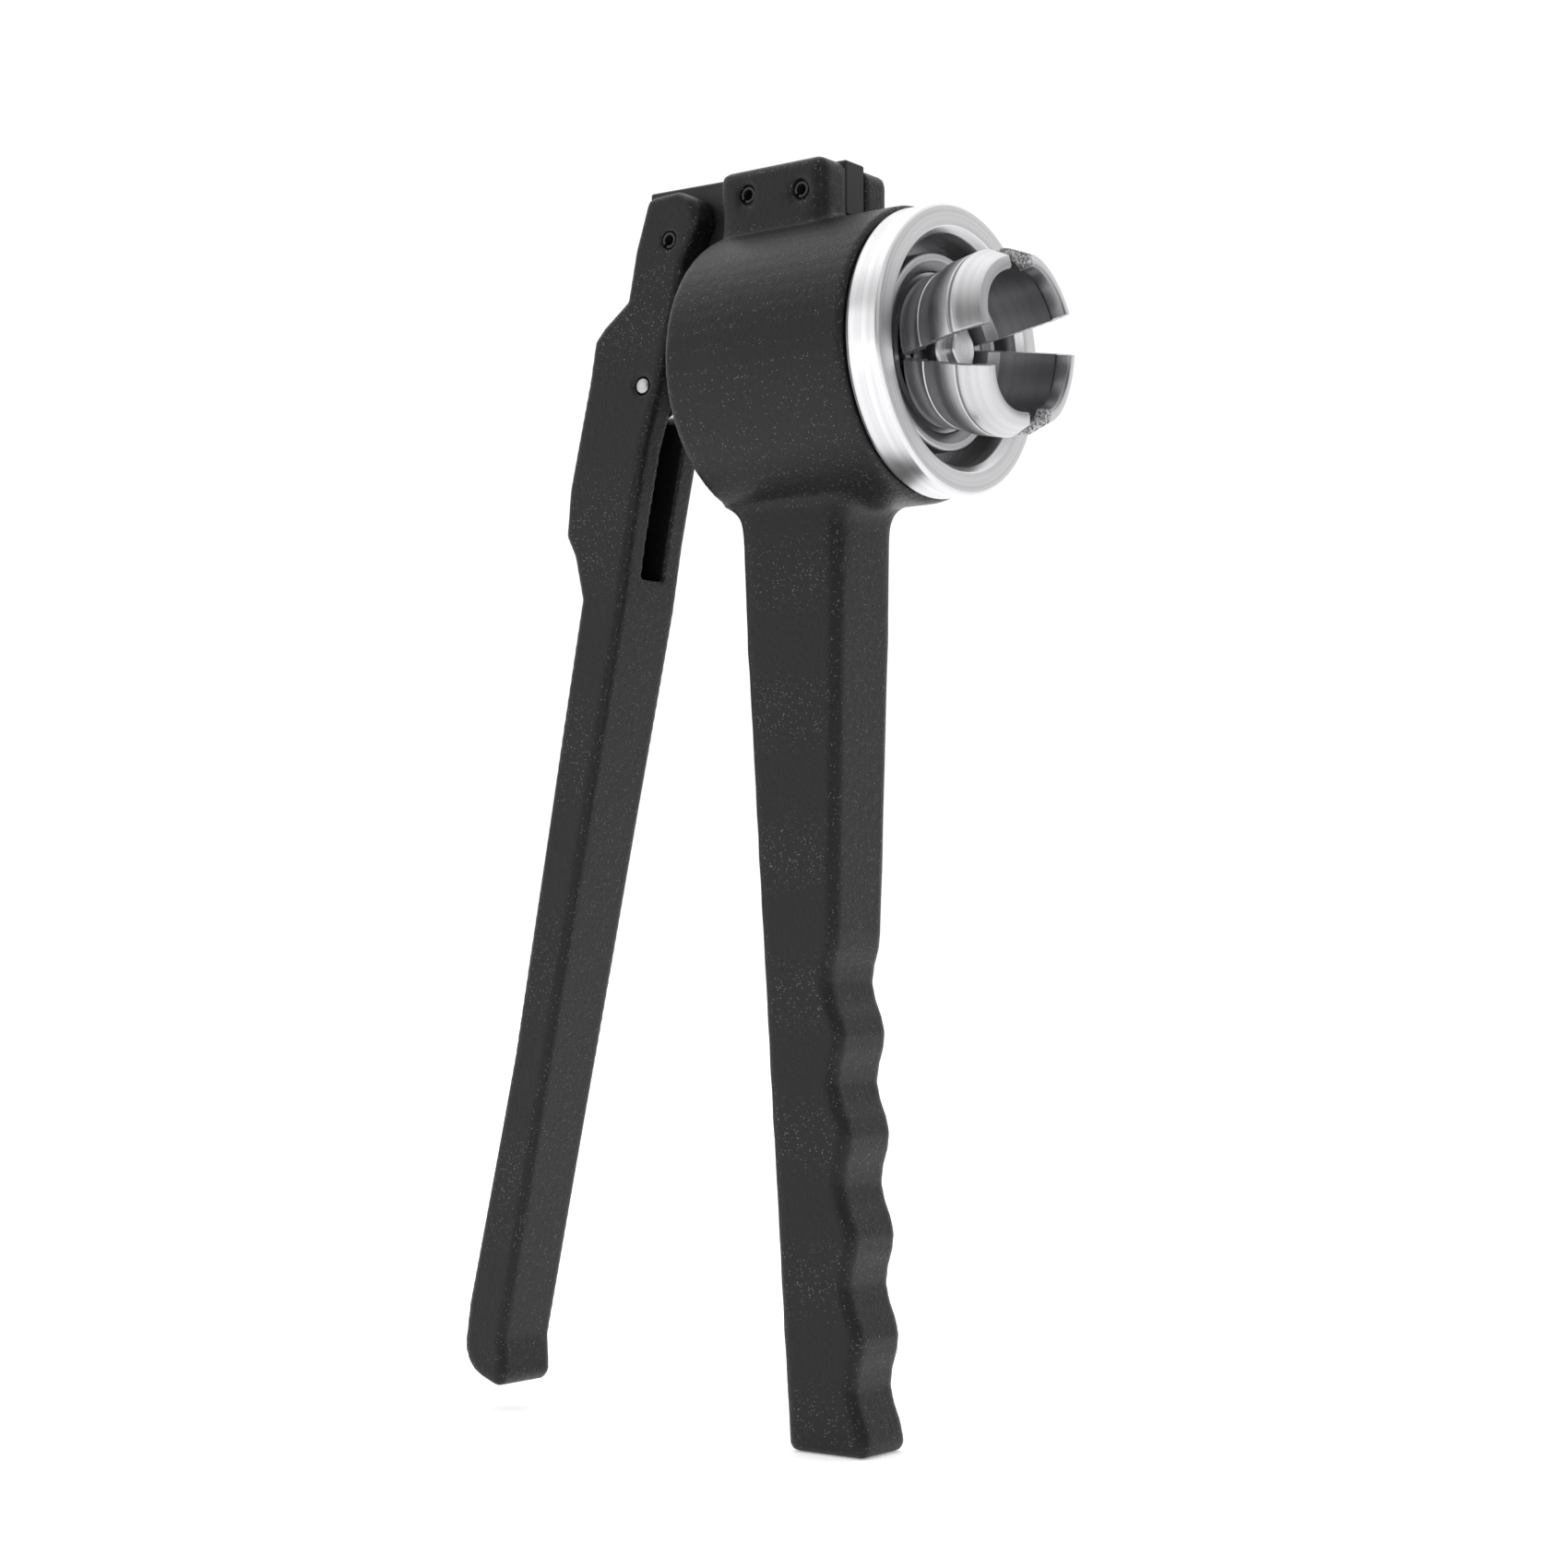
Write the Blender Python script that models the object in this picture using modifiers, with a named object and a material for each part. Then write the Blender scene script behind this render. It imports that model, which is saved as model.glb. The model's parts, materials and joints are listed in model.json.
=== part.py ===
"""Hand decapper for crimp-sealed vials, as an assembly of separate pieces.

Barrel coordinates are millimetres: x across the tool, y back from the front face of
the collar, z up from the barrel's axis.  The part's own frame has its origin at the
centre of the fixed handle's foot, +Z up and the jaws facing -Y.
"""
import math

import bmesh
import bpy
from mathutils import Matrix

MM = 0.001
AXIS_HEIGHT = 181.0          # barrel axis above the handle's foot
FOOT_BACK = 23.25            # centre of the foot, behind the collar's front face
GAP = 0.3                    # between faces that touch on the real tool
PIN_R = 1.5
PIN_HOLE_R = 1.65

COLLAR_R = 24.0
COLLAR_BACK = 6.7
COLLAR_BORE_R = 19.15
SPIGOT_R = 21.5
SPIGOT_BACK = 14.0
BARREL_R = 24.66
BARREL_FRONT = 7.0
BARREL_BACK = 43.1
REAR_WALL_FRONT = 38.0
SEAT_R = 21.8
SEAT_BACK = 17.6
BORE_R = 18.0

HANDLE_FRONT = 18.9          # y of the front face under the barrel
HANDLE_BACK = 39.9
HANDLE_TOP_HALF = 8.4
HANDLE_FOOT_HALF = 6.2
GROOVE_TOP_Z = -95.6
GROOVE_TOP_Y = 20.6
GROOVE_PITCH = 16.6
FOOT_FRONT = 15.4
FOOT_REAR = 31.1
GROOVES = 5
GROOVE_DEPTH = 2.05
HANDLE_FILLET = 4.0

LUG_HALF = 9.9
LUG_FRONT = 21.0
LUG_BACK = 43.0
LUG_TOP = 34.2
SLOT_HALF = 3.0
SLOT_FLOOR = 24.9
LINK_HALF = 2.7
LINK_TOP = 35.4             # at its rear end
LINK_FRONT_TOP = 34.6
LINK_BACK = 63.7
LINK_DROP = 19.0
LINK_PINS = {"link_pin_front": (25.8, 28.8), "link_pin_rear": (37.0, 29.6)}

PIVOT = (55.2, 24.8)         # lever pivot: y, z
ROLLER = (61.3, 0.0)         # roller pin: y, z
ROLLER_R = 5.5
LEVER_TOP_HALF = 8.3
LEVER_FOOT_HALF = 6.6
LEVER_FOOT_Z = -177.0
CHANNEL_FLOOR = -33.0

JAW_PIVOT_R = 12.0
JAW_PIVOT_Y = 5.25
JAW_OPEN = 14.0              # degrees each jaw stands open at rest
JAW_ROLL = 58.0              # first jaw's direction, from +x towards +z
JAW_LIP_R = 8.4
JAW_CAVITY_R = 10.4
JAW_R = 12.8
JAW_ROOT_R = 12.3
JAW_FRONT = -12.66
JAW_TAIL_BACK = 13.0
JAW_SIDE_GAP = 0.28
JAW_TAIL_RELIEF = 2.35

RIDGE = (4.65, 5.85, 11.5)   # retainer ridge: front y, back y, inner radius
ROD_R = 5.0
ROD_BACK = 55.5
FLANGE_R = 17.5
SPRING_R = 15.3
SPRING_WIRE_R = 0.65
SPRING_TURNS = 3.5

STEM_R = 2.0
THREAD_R = 3.0
STEM_HOLE_R = 2.3
STEM_HOLE_BACK = 22.0
NUT_HOLE_R = 2.7             # a hexagon, so its flats lie closer in than this


def collection(name):
    """Return a new collection linked to the scene."""
    made = bpy.data.collections.new(name)
    bpy.context.scene.collection.children.link(made)
    return made


def material(name, colour, roughness, metallic):
    """Make one Principled material."""
    made = bpy.data.materials.new(name)
    made.use_nodes = True
    shader = made.node_tree.nodes["Principled BSDF"]
    shader.inputs["Base Color"].default_value = (*colour, 1.0)
    shader.inputs["Roughness"].default_value = roughness
    shader.inputs["Metallic"].default_value = metallic
    return made


def guide(name, rotation):
    """An empty on the barrel axis that pieces are laid out from."""
    empty = bpy.data.objects.new(name, None)
    PARTS.objects.link(empty)
    empty.location = (0.0, -FOOT_BACK * MM, AXIS_HEIGHT * MM)
    empty.rotation_euler = rotation
    return empty


def add(name, mesh, parent, finish, location=(0.0, 0.0, 0.0)):
    """Link a mesh object under a guide; a finish of None makes it a cutter."""
    made = bpy.data.objects.new(name, mesh)
    (PARTS if finish else CUTTERS).objects.link(made)
    made.parent = parent
    made.location = [value * MM for value in location]
    if finish:
        mesh.materials.append(finish)
    else:
        made.hide_render = True
        made.display_type = "WIRE"
    return made


def arc(centre, radius, start, end, steps):
    """Points on an arc, angles in degrees."""
    turn = [math.radians(start + (end - start) * k / steps) for k in range(steps + 1)]
    return [(centre[0] + radius * math.cos(a), centre[1] + radius * math.sin(a)) for a in turn]


def turned(name, profile, finish, parent=None, steps=48, location=(0.0, 0.0, 0.0)):
    """Screw a (radius, y) profile round the barrel axis, outer side first, front to back."""
    closed = min(radius for radius, _ in profile) > 0.0
    mesh = bpy.data.meshes.new(name)
    points = [(radius * MM, 0.0, -back * MM) for radius, back in profile]
    edges = [(k, k + 1) for k in range(len(points) - 1)]
    if closed:
        edges.append((len(points) - 1, 0))
    mesh.from_pydata(points, edges, [])
    made = add(name, mesh, parent or BARREL, finish, location)
    screw = made.modifiers.new("turn", "SCREW")
    screw.steps = steps
    screw.render_steps = steps
    screw.use_merge_vertices = True
    screw.merge_threshold = 0.00001
    return made


def baked(source):
    """Replace an object by the mesh its modifiers make."""
    graph = bpy.context.evaluated_depsgraph_get()
    mesh = bpy.data.meshes.new_from_object(source.evaluated_get(graph))
    source.modifiers.clear()
    source.data = mesh
    return source


def plate(name, outline, half, finish, pivot=(0.0, 0.0), taper=None):
    """Extrude a (y, z) outline across the tool; taper is (z, half-width) at the foot."""
    curve = bpy.data.curves.new(name, "CURVE")
    curve.dimensions = "2D"
    curve.fill_mode = "BOTH"
    curve.extrude = half * MM
    spline = curve.splines.new("POLY")
    spline.points.add(len(outline) - 1)
    for point, (back, up) in zip(spline.points, outline):
        point.co = ((back - pivot[0]) * MM, (up - pivot[1]) * MM, 0.0, 1.0)
    spline.use_cyclic_u = True
    flat = bpy.data.objects.new(name + "_outline", curve)
    CUTTERS.objects.link(flat)
    graph = bpy.context.evaluated_depsgraph_get()
    mesh = bpy.data.meshes.new_from_object(flat.evaluated_get(graph))
    bpy.data.objects.remove(flat)
    shape = bmesh.new()
    shape.from_mesh(mesh)
    bmesh.ops.remove_doubles(shape, verts=shape.verts, dist=0.000005)
    bmesh.ops.dissolve_limit(shape, angle_limit=0.01, verts=shape.verts, edges=shape.edges)
    if taper:
        foot_z, foot_half = taper
        top_z = max(up for _, up in outline)
        for vertex in shape.verts:
            down = (top_z - pivot[1] - vertex.co.y / MM) / (top_z - foot_z)
            vertex.co.z *= 1.0 + (foot_half / half - 1.0) * down
    bmesh.ops.recalc_face_normals(shape, faces=shape.faces)
    shape.to_mesh(mesh)
    shape.free()
    mesh.name = name
    return add(name, mesh, SIDE, finish, (pivot[0], pivot[1], 0.0))


def cross_pin(name, at, radius, half, finish, steps=16, chamfer=0.25):
    """A chamfered pin lying across the tool at (y, z)."""
    profile = [(0.0, -half), (radius - chamfer, -half), (radius, chamfer - half),
               (radius, half - chamfer), (radius - chamfer, half), (0.0, half)]
    return turned(name, profile, finish, SIDE, steps, (at[0], at[1], 0.0))


def round_edges(made, width, segments=2, angle=50.0):
    """Bevel the edges sharper than an angle."""
    bevel = made.modifiers.new("edges", "BEVEL")
    bevel.width = width * MM
    bevel.segments = segments
    bevel.limit_method = "ANGLE"
    bevel.angle_limit = math.radians(angle)


def combine(made, other, operation):
    """Add an exact Boolean to a piece."""
    step = made.modifiers.new(other.name, "BOOLEAN")
    step.operation = operation
    step.object = other


def drill(made, at, half=12.0):
    """Cut a cross hole for a pin at (y, z)."""
    name = f"{made.name}_hole_{len(made.modifiers)}"
    combine(made, cross_pin(name, at, PIN_HOLE_R, half, None, chamfer=0.01), "DIFFERENCE")


def handle_outline():
    """Side outline of the fixed handle, from inside the barrel wall round to it again."""
    fillet = HANDLE_FILLET
    root_z = -BARREL_R + 1.1
    points = arc((HANDLE_FRONT - fillet, root_z - fillet), fillet, 90.0, 0.0, 4)
    lean = (FOOT_FRONT - GROOVE_TOP_Y) / (GROOVES * GROOVE_PITCH)
    per_groove = 6
    for k in range(GROOVES * per_groove + 1):
        down = GROOVE_PITCH * k / per_groove
        dip = GROOVE_DEPTH * (0.5 - 0.5 * math.cos(2.0 * math.pi * k / per_groove))
        points.append((GROOVE_TOP_Y + lean * down + dip, GROOVE_TOP_Z - down))
    points += [(FOOT_FRONT, -AXIS_HEIGHT), (FOOT_REAR, -AXIS_HEIGHT)]
    points += arc((HANDLE_BACK + fillet, root_z - fillet), fillet, 180.0, 90.0, 4)
    points += [(HANDLE_BACK + fillet, -16.0), (HANDLE_FRONT - fillet, -16.0)]
    return points


def block(name, low, high):
    """A cutter box between two corners in barrel coordinates."""
    mesh = bpy.data.meshes.new(name)
    shape = bmesh.new()
    bmesh.ops.create_cube(shape, size=1.0)
    for vertex in shape.verts:
        x, y, z = [low[k] if vertex.co[k] < 0.0 else high[k] for k in range(3)]
        vertex.co = (x * MM, z * MM, -y * MM)
    bmesh.ops.recalc_face_normals(shape, faces=shape.faces)
    shape.to_mesh(mesh)
    shape.free()
    return add(name, mesh, BARREL, None)


def body_casting():
    """Cast barrel with its slotted lug and grooved handle."""
    rim = 1.2
    outer = [(0.0, BARREL_FRONT), (BARREL_R - 0.4, BARREL_FRONT), (BARREL_R, BARREL_FRONT + 0.4)]
    outer += arc((BARREL_R - rim, BARREL_BACK - rim), rim, 0.0, 90.0, 3)
    outer.append((0.0, BARREL_BACK))
    body = turned("body_casting", outer, CAST, steps=56)
    handle = plate("handle_cast", handle_outline(), HANDLE_TOP_HALF, None,
                   taper=(-AXIS_HEIGHT, HANDLE_FOOT_HALF))
    round_edges(handle, 2.0, 2)
    combine(body, handle, "UNION")
    lug = block("lug_cast", (-LUG_HALF, LUG_FRONT, 14.0), (LUG_HALF, LUG_BACK, LUG_TOP))
    round_edges(lug, 1.8, 2)
    combine(body, lug, "UNION")
    bore = [(0.0, BARREL_FRONT - 2.0), (SEAT_R, BARREL_FRONT - 2.0), (SEAT_R, SEAT_BACK),
            (BORE_R, SEAT_BACK), (BORE_R, REAR_WALL_FRONT), (8.0 + GAP, REAR_WALL_FRONT),
            (8.0 + GAP, BARREL_BACK + 2.0), (0.0, BARREL_BACK + 2.0)]
    slot = block("lug_slot", (-SLOT_HALF, 15.0, SLOT_FLOOR), (SLOT_HALF, 50.0, 40.0))
    combine(body, slot, "DIFFERENCE")
    for at in LINK_PINS.values():
        drill(body, at)
    combine(body, turned("barrel_bore", bore, None, steps=48), "DIFFERENCE")


def front_rings():
    """Collar, and the ring in it that the jaws rock on."""
    edge = 0.5
    collar = arc((COLLAR_R - edge, edge), edge, -90.0, 0.0, 2)
    collar += [(COLLAR_R, COLLAR_BACK), (SPIGOT_R, COLLAR_BACK), (SPIGOT_R, SPIGOT_BACK),
               (COLLAR_BORE_R, SPIGOT_BACK), (COLLAR_BORE_R, edge), (COLLAR_BORE_R + edge, 0.0)]
    turned("front_collar", collar, STEEL, steps=56)
    front, back, ridge_r = RIDGE
    ring = [(15.4, 3.54), (16.1, 3.54), (16.4, 3.84), (16.4, 14.3), (21.3, 14.3), (21.3, 17.3),
            (13.3, 17.3), (13.3, back), (ridge_r, back), (ridge_r, front), (13.3, front),
            (13.3, 4.2)]
    turned("jaw_retainer", ring, STEEL)


def jaw_mesh():
    """One jaw, with its origin on its rocking axis and its mouth towards local +Z."""
    front, back, _ = RIDGE
    floor_r = RIDGE[2] - 0.6
    tail_r = 11.8
    ring = [(10.4, JAW_FRONT), (JAW_R, -8.9), (JAW_R, -3.0), (JAW_ROOT_R, -3.0),
            (JAW_ROOT_R, front - 0.7), (floor_r, front - 0.7), (floor_r, back + 1.3),
            (tail_r, back + 1.3), (tail_r, 9.0), (10.6, 9.0), (10.6, 12.4), (tail_r, 12.4),
            (tail_r, JAW_TAIL_BACK), (8.7, JAW_TAIL_BACK), (8.7, 2.0), (JAW_CAVITY_R, 0.6),
            (JAW_CAVITY_R, -9.4), (JAW_LIP_R, -10.06), (JAW_LIP_R, JAW_FRONT)]
    piece = turned("jaw_blank", ring, None)
    sections = [(JAW_FRONT - 2.0, JAW_SIDE_GAP), (JAW_PIVOT_Y, JAW_SIDE_GAP),
                (JAW_TAIL_BACK + 1.0, JAW_TAIL_RELIEF + 0.3)]
    reach = 20.0
    mesh = bpy.data.meshes.new("jaw_sector")
    shape = bmesh.new()
    rows = []
    for back_y, apex in sections:
        corners = ((apex, 0.0), (apex + reach, reach), (apex + reach, -reach))
        rows.append([shape.verts.new((x * MM, y * MM, -back_y * MM)) for x, y in corners])
    shape.faces.new(rows[0])
    shape.faces.new(reversed(rows[-1]))
    for near, far in zip(rows, rows[1:]):
        for k in range(3):
            shape.faces.new((near[k], far[k], far[k - 2], near[k - 2]))
    bmesh.ops.recalc_face_normals(shape, faces=shape.faces)
    shape.to_mesh(mesh)
    shape.free()
    combine(piece, add("jaw_sector", mesh, BARREL, None), "INTERSECT")
    result = baked(piece).data
    result.transform(Matrix.Translation((-JAW_PIVOT_R * MM, 0.0, JAW_PIVOT_Y * MM)))
    bpy.data.objects.remove(piece)
    return result


def jaws():
    """Four jaws that share one mesh, each rocked open about its own axis."""
    mesh = jaw_mesh()
    mesh.materials.clear()
    mesh.materials.append(JAW_STEEL)
    for k in range(4):
        turn = math.radians(JAW_ROLL + 90.0 * k)
        at = (JAW_PIVOT_R * math.cos(turn), JAW_PIVOT_R * math.sin(turn), -JAW_PIVOT_Y)
        jaw = bpy.data.objects.new(f"jaw_{k + 1}", mesh)
        PARTS.objects.link(jaw)
        jaw.parent = BARREL
        jaw.location = [value * MM for value in at]
        jaw.rotation_euler = (0.0, math.radians(JAW_OPEN), turn)


def wire(name, points, radius, finish, cyclic=False):
    """A round wire through points in (x, up, forward) from the barrel axis."""
    curve = bpy.data.curves.new(name, "CURVE")
    curve.dimensions = "3D"
    curve.bevel_depth = radius * MM
    curve.bevel_resolution = 2
    curve.use_fill_caps = not cyclic
    spline = curve.splines.new("POLY")
    spline.points.add(len(points) - 1)
    for point, place in zip(spline.points, points):
        point.co = (*[value * MM for value in place], 1.0)
    spline.use_cyclic_u = cyclic
    curve.materials.append(finish)
    made = bpy.data.objects.new(name, curve)
    PARTS.objects.link(made)
    made.parent = BARREL


def springs():
    """Return spring round the piston, and the ring spring on the jaws' tails."""
    per_turn = 16
    start = 17.3 + GAP + SPRING_WIRE_R
    length = 31.0 - GAP - SPRING_WIRE_R - start
    total = int(SPRING_TURNS * per_turn)
    coil = []
    for k in range(total + 1):
        turn = 2.0 * math.pi * k / per_turn
        ease = k / total
        coil.append((SPRING_R * math.cos(turn), SPRING_R * math.sin(turn), -start - length * ease))
    wire("return_spring", coil, SPRING_WIRE_R, SPRING_STEEL)
    ring = [(10.5 * x, 10.5 * y, -10.1) for x, y in arc((0.0, 0.0), 1.0, 0.0, 345.0, 23)]
    wire("garter_spring", ring, 0.6, SPRING_STEEL, cyclic=True)


def piston():
    """Push rod, spring flange and the cone that spreads the jaws' tails."""
    profile = [(0.0, STEM_HOLE_BACK), (STEM_HOLE_R, STEM_HOLE_BACK), (STEM_HOLE_R, 12.0),
               (6.5, 12.0), (8.4, 20.0), (8.4, 31.0), (FLANGE_R, 31.0), (FLANGE_R, 37.0),
               (ROD_R, 37.0), (ROD_R, ROD_BACK - 0.8), (ROD_R - 0.8, ROD_BACK), (0.0, ROD_BACK)]
    turned("piston", profile, STEEL, steps=48)


def pusher():
    """Stem, lock nut, washer and stepped head in front of the piston."""
    stem = [(0.0, 0.5), (STEM_R, 0.5), (STEM_R, 3.2), (THREAD_R, 3.2), (THREAD_R, 5.7),
            (STEM_R, 5.7), (STEM_R, STEM_HOLE_BACK - GAP), (0.0, STEM_HOLE_BACK - GAP)]
    turned("pusher_stem", stem, STEEL, steps=24)
    nut = [(4.5, 8.4), (4.5, 10.8), (NUT_HOLE_R, 10.8), (NUT_HOLE_R, 8.4)]
    turned("pusher_locknut", nut, STEEL, steps=6)
    washer = [(5.0, 11.1), (5.0, 11.7), (STEM_HOLE_R, 11.7), (STEM_HOLE_R, 11.1)]
    turned("pusher_washer", washer, STEEL, steps=32)
    head = [(0.0, -0.6), (2.9, -0.6), (3.2, -0.3), (3.2, 1.1), (5.3, 1.1), (5.6, 1.4),
            (5.6, 2.8), (STEM_HOLE_R, 2.8), (STEM_HOLE_R, 0.2), (0.0, 0.2)]
    turned("pusher_head", head, STEEL, steps=32)


def rod_guide_bush():
    """Flanged bush in the barrel's rear wall."""
    profile = [(8.0, 38.1), (8.0, 43.4), (9.8, 43.4), (9.8, 44.6), (5.2, 44.6), (5.2, 38.1)]
    turned("rod_guide_bush", profile, BRASS, steps=32)


def link_plate():
    """Plate in the lug's slot that carries the lever's pivot."""
    low = SLOT_FLOOR + GAP
    outline = [(LUG_FRONT + 0.2, low), (BARREL_BACK + 0.4, low), (BARREL_BACK + 0.4, LINK_DROP),
               (LINK_BACK, LINK_DROP), (LINK_BACK, LINK_TOP), (LUG_FRONT + 0.2, LINK_FRONT_TOP)]
    link = plate("link_plate", outline, LINK_HALF, BLACK)
    round_edges(link, 0.3, 1)
    for at in (*LINK_PINS.values(), PIVOT):
        drill(link, at)


def lever_outline():
    """Side outline of the lever, down its rear, round its nose and up its front."""
    rear = [(53.5, 33.2), (60.0, 32.9), (63.0, 24.0), (64.8, 15.4), (70.2, 11.4), (72.3, 9.2),
            (73.6, 2.1), (78.3, -16.8), (79.1, -25.0), (77.2, -28.8), (75.5, -36.5),
            (91.4, -117.0), (102.4, -162.0)]
    nose = arc((97.2, -169.2), 6.2, 10.0, -70.0, 4) + [(95.2, -176.6), (93.9, -174.6)]
    front = [(94.2, -168.0), (83.4, -117.0), (66.1, -38.0), (64.2, -26.5), (61.0, -11.0),
             (57.4, 0.0), (52.0, 21.0), (48.8, 27.5), (49.6, 31.4)]
    return rear + nose + front


def lever_handle():
    """Trigger lever with the channel that the roller and link run in."""
    lever = plate("lever_handle", lever_outline(), LEVER_TOP_HALF, CAST, PIVOT,
                  (LEVER_FOOT_Z, LEVER_FOOT_HALF))
    round_edges(lever, 1.2, 2)
    channel = [(44.0, CHANNEL_FLOOR), (72.4, CHANNEL_FLOOR), (75.1, -24.0), (74.6, -16.5),
               (70.1, 1.6), (68.8, 8.2), (82.0, 8.2), (82.0, 40.0), (44.0, 40.0)]
    combine(lever, plate("lever_channel", channel, SLOT_HALF, None), "DIFFERENCE")
    drill(lever, PIVOT)
    drill(lever, ROLLER)


def lever_pins():
    """Lever pivot, roller pin and the roller on it."""
    cross_pin("lever_pivot_pin", PIVOT, PIN_R, 8.0, BLACK)
    cross_pin("roller_pin", ROLLER, PIN_R, 8.0, STEEL, chamfer=0.4)
    profile = [(ROLLER_R, -2.6), (ROLLER_R, 2.6), (PIN_HOLE_R, 2.6), (PIN_HOLE_R, -2.6)]
    turned("push_roller", profile, STEEL, SIDE, 32, (ROLLER[0], ROLLER[1], 0.0))
    for name, at in LINK_PINS.items():
        cross_pin(name, at, PIN_R, 9.2, BLACK)


def smooth_round_pieces():
    """Shade every part smooth, and keep its real edges sharp."""
    for made in PARTS.objects:
        if made.type == "MESH":
            made.data.shade_smooth()
            made.data.set_sharp_from_angle(angle=math.radians(30.0))


for old in list(bpy.data.objects):
    bpy.data.objects.remove(old)
PARTS = collection("vial_decapper")
CUTTERS = collection("cutters")
CAST = material("black_coated_casting", (0.035, 0.035, 0.037), 0.55, 0.1)
STEEL = material("turned_steel", (0.62, 0.62, 0.63), 0.28, 1.0)
JAW_STEEL = material("jaw_steel", (0.45, 0.45, 0.46), 0.35, 1.0)
SPRING_STEEL = material("spring_steel", (0.30, 0.30, 0.31), 0.40, 1.0)
BLACK = material("blackened_steel", (0.05, 0.05, 0.05), 0.45, 0.8)
BRASS = material("sintered_bronze", (0.45, 0.33, 0.18), 0.45, 1.0)
BARREL = guide("barrel_axis", (math.radians(90.0), 0.0, 0.0))
SIDE = guide("side_plane", (math.radians(90.0), 0.0, math.radians(90.0)))
body_casting()
front_rings()
jaws()
piston()
pusher()
springs()
rod_guide_bush()
link_plate()
lever_handle()
lever_pins()
smooth_round_pieces()
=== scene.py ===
"""Looks for the hand vial decapper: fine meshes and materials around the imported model."""
import json
import math

import bmesh
import bpy
import numpy as np
from mathutils import Matrix, Vector


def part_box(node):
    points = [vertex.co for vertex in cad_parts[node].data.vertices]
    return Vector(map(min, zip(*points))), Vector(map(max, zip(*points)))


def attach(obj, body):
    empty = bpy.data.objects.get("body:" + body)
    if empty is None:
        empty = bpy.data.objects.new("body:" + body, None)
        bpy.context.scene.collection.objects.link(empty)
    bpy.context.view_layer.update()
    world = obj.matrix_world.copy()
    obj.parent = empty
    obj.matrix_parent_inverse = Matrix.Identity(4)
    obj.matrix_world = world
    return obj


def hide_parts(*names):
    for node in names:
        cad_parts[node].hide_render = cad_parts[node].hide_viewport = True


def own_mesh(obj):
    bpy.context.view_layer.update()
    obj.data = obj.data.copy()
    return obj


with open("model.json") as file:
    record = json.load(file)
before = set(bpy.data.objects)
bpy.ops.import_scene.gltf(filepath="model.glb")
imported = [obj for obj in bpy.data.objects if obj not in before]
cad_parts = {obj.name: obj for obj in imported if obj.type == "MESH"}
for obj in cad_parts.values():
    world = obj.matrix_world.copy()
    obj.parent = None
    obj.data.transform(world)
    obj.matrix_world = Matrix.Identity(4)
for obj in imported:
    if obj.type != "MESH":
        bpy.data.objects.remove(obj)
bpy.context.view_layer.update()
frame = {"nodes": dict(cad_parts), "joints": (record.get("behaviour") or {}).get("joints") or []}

MM = 0.001
COLLAR_LOW, COLLAR_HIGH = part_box("front_collar")
AXIS_Z = (COLLAR_LOW.z + COLLAR_HIGH.z) / 2.0
FRONT_Y = COLLAR_LOW.y
COLLAR_R = (COLLAR_HIGH.z - COLLAR_LOW.z) / 2.0 / MM
JOINTS = {joint["name"]: joint for joint in frame["joints"]}

# Sizes are in millimetres. A turned piece's profile is a list of (radius, back) points, and
# back is measured from the collar's front face, so a negative one is in front of it.
COLLAR_BORE_R = 19.15
SPIGOT_R = 21.5
SPIGOT_BACK = 14.0

RETAINER_BACK = 17.3
RETAINER_R = 21.3
RETAINER_EDGE_R = 15.3       # its rolled front edge
RETAINER_BORE_R = 13.3
RIDGE_R = 11.5               # the ridge that the jaws rock on

JAW_OPEN = math.radians(14.0)
JAW_FRONT = -12.66
JAW_R = 12.8
JAW_ROOT_R = 12.3
JAW_CAVITY_R = 10.4
JAW_LIP_R = 8.4
JAW_NECK_R = 10.9
JAW_TAIL_R = 11.8
JAW_TAIL_BACK = 13.0
JAW_PIVOT_BACK = 5.25
SAW_APEX = 0.28              # how far out the wedge left between two saw cuts begins
SAW_TAIL_APEX = 2.65         # the same at the tails, which need room to spread

STEM_R = 2.0
THREAD_R = 3.0
THREAD_DEPTH = 0.35
THREAD_PITCH = 0.5
PUSHER_HOLE_R = 2.3
ROD_R = 5.0
FLANGE_R = 17.5
FLANGE_FRONT = 31.0

SPRING_R = 15.3
SPRING_WIRE_R = 0.65
SPRING_TURNS = 3.5
GARTER_R = 10.5
GARTER_BACK = 10.1
GARTER_COIL_R = 0.42
GARTER_WIRE_R = 0.17
GARTER_COILS = 52            # in the whole ring
GARTER_ARC = 89.0            # degrees on each jaw, so the arcs' ends don't touch

MELT = 1.2                   # a share of smoothing that melts a corner into a cast fillet

# Turned pieces are made round local Z and laid with it pointing forward along the barrel;
# cross pieces have local Z across the tool.
BARREL = Matrix.Translation((0.0, FRONT_Y, AXIS_Z)) @ Matrix.Rotation(math.pi / 2.0, 4, "X")


def across(node):
    """Placement of a piece whose axis lies across the tool, at a node's middle."""
    low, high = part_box(node)
    return Matrix.Translation((low + high) / 2.0) @ Matrix.Rotation(math.pi / 2.0, 4, "Y")


# ---------------------------------------------------------------- node helpers

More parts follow.
